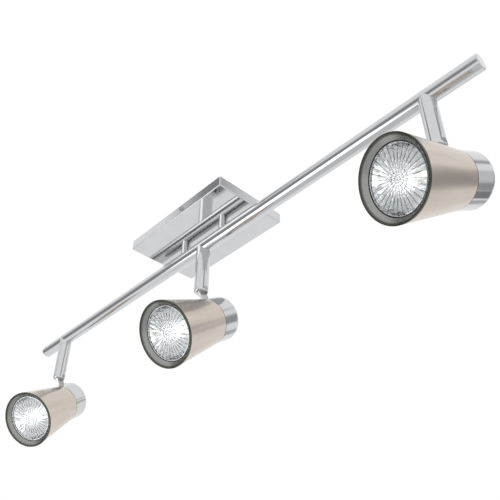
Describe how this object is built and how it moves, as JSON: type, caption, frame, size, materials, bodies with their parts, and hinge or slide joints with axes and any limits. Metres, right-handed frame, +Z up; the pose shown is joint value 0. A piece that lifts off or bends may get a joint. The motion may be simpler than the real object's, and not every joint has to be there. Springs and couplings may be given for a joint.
{
  "type": "three-spot ceiling light",
  "caption": "Ceiling spot light bar: a round tube on a shallow canopy, with swivelling arms and tilting conical lamp heads.",
  "frame": {"origin": "centre of the canopy's open face, on the ceiling plane, between the two ceiling screws", "axes": "+Z up into the ceiling, +X along the bar, the lamp heads face -Y at the middle of their swivel"},
  "size_m": [0.636, 0.1063, 0.1695],
  "materials": {
    "canopy_chrome": "polished",
    "bar_chrome": "polished",
    "arm_chrome": "polished",
    "cap_chrome": "polished",
    "satin_nickel": "satin",
    "dark_ring": "satin metallic",
    "tongue_steel": "satin plated",
    "zinc_steel": "zinc plated",
    "screw_steel": "nickel plated",
    "brass_screw": "satin",
    "spring_steel": "blued",
    "block_plastic": "natural",
    "holder_ceramic": "unglazed ceramic",
    "lamp_ceramic": "ceramic",
    "reflector": "faceted mirror",
    "lens_glass": "clear",
    "burner_glass": "clear",
    "pin_metal": "nickel plated",
    "lead_insulation": "heat-proof sleeve"
  },
  "bodies": {
    "fixture": {"canopy": "canopy_chrome", "ceiling_bracket": "zinc_steel", "canopy_side_screws": "screw_steel", "earth_screw": "brass_screw", "terminal_block": "block_plastic", "terminal_screws": "brass_screw", "bar_tube": "bar_chrome", "bar_end_caps": "bar_chrome", "left_post": "bar_chrome", "right_post": "bar_chrome", "post_nuts": "zinc_steel", "bar_leads": "lead_insulation", "left_swivel_boss": "arm_chrome", "centre_swivel_boss": "arm_chrome", "right_swivel_boss": "arm_chrome"},
    "left_arm": {"left_arm_neck": "zinc_steel", "left_swivel_clip": "spring_steel", "left_arm_tube": "arm_chrome", "left_knuckle": "arm_chrome", "left_pivot_screw": "screw_steel"},
    "left_head": {"left_tongue": "tongue_steel", "left_rear_cap": "cap_chrome", "left_head_shell": "satin_nickel", "left_front_ring": "dark_ring", "left_lamp_holder": "holder_ceramic"},
    "left_lamp": {"left_lamp_reflector": "reflector", "left_lamp_lens": "lens_glass", "left_lamp_base": "lamp_ceramic", "left_lamp_pins": "pin_metal", "left_burner": "burner_glass"},
    "centre_arm": {"centre_arm_neck": "zinc_steel", "centre_swivel_clip": "spring_steel", "centre_arm_tube": "arm_chrome", "centre_knuckle": "arm_chrome", "centre_pivot_screw": "screw_steel"},
    "centre_head": {"centre_tongue": "tongue_steel", "centre_rear_cap": "cap_chrome", "centre_head_shell": "satin_nickel", "centre_front_ring": "dark_ring", "centre_lamp_holder": "holder_ceramic"},
    "centre_lamp": {"centre_lamp_reflector": "reflector", "centre_lamp_lens": "lens_glass", "centre_lamp_base": "lamp_ceramic", "centre_lamp_pins": "pin_metal", "centre_burner": "burner_glass"},
    "right_arm": {"right_arm_neck": "zinc_steel", "right_swivel_clip": "spring_steel", "right_arm_tube": "arm_chrome", "right_knuckle": "arm_chrome", "right_pivot_screw": "screw_steel"},
    "right_head": {"right_tongue": "tongue_steel", "right_rear_cap": "cap_chrome", "right_head_shell": "satin_nickel", "right_front_ring": "dark_ring", "right_lamp_holder": "holder_ceramic"},
    "right_lamp": {"right_lamp_reflector": "reflector", "right_lamp_lens": "lens_glass", "right_lamp_base": "lamp_ceramic", "right_lamp_pins": "pin_metal", "right_burner": "burner_glass"}
  },
  "joints": [
    {"name": "left_pan", "type": "hinge", "parent": "fixture", "child": "left_arm", "pos_m": [-0.27, 0, -0.03525], "axis": [0, 0, 1], "range_deg": [-190, 150]},
    {"name": "left_tilt", "type": "hinge", "parent": "left_arm", "child": "left_head", "pos_m": [-0.27, 0, -0.078], "axis": [-0.9397, -0.342, 0], "range_deg": [-53, 42]},
    {"name": "left_lamp_twist", "type": "hinge", "parent": "left_head", "child": "left_lamp", "pos_m": [-0.27655, 0.01798, -0.1034], "axis": [0.2731, -0.7505, -0.6018], "range_deg": [0, 18]},
    {"name": "centre_pan", "type": "hinge", "parent": "fixture", "child": "centre_arm", "pos_m": [0, 0, -0.03525], "axis": [0, 0, 1], "range_deg": [-172, 168]},
    {"name": "centre_tilt", "type": "hinge", "parent": "centre_arm", "child": "centre_head", "pos_m": [0, 0, -0.078], "axis": [-0.9994, -0.0349, 0], "range_deg": [-56.5, 38.5]},
    {"name": "centre_lamp_twist", "type": "hinge", "parent": "centre_head", "child": "centre_lamp", "pos_m": [-0.00061, 0.01754, -0.10452], "axis": [0.0291, -0.8334, -0.5519], "range_deg": [0, 18]},
    {"name": "right_pan", "type": "hinge", "parent": "fixture", "child": "right_arm", "pos_m": [0.27, 0, -0.03525], "axis": [0, 0, 1], "range_deg": [-154.5, 185.5]},
    {"name": "right_tilt", "type": "hinge", "parent": "right_arm", "child": "right_head", "pos_m": [0.27, 0, -0.078], "axis": [-0.9636, 0.2672, 0], "range_deg": [-67.5, 27.5]},
    {"name": "right_lamp_twist", "type": "hinge", "parent": "right_head", "child": "right_lamp", "pos_m": [0.27325, 0.01173, -0.10738], "axis": [-0.2469, -0.8903, -0.3827], "range_deg": [0, 18]}
  ]
}
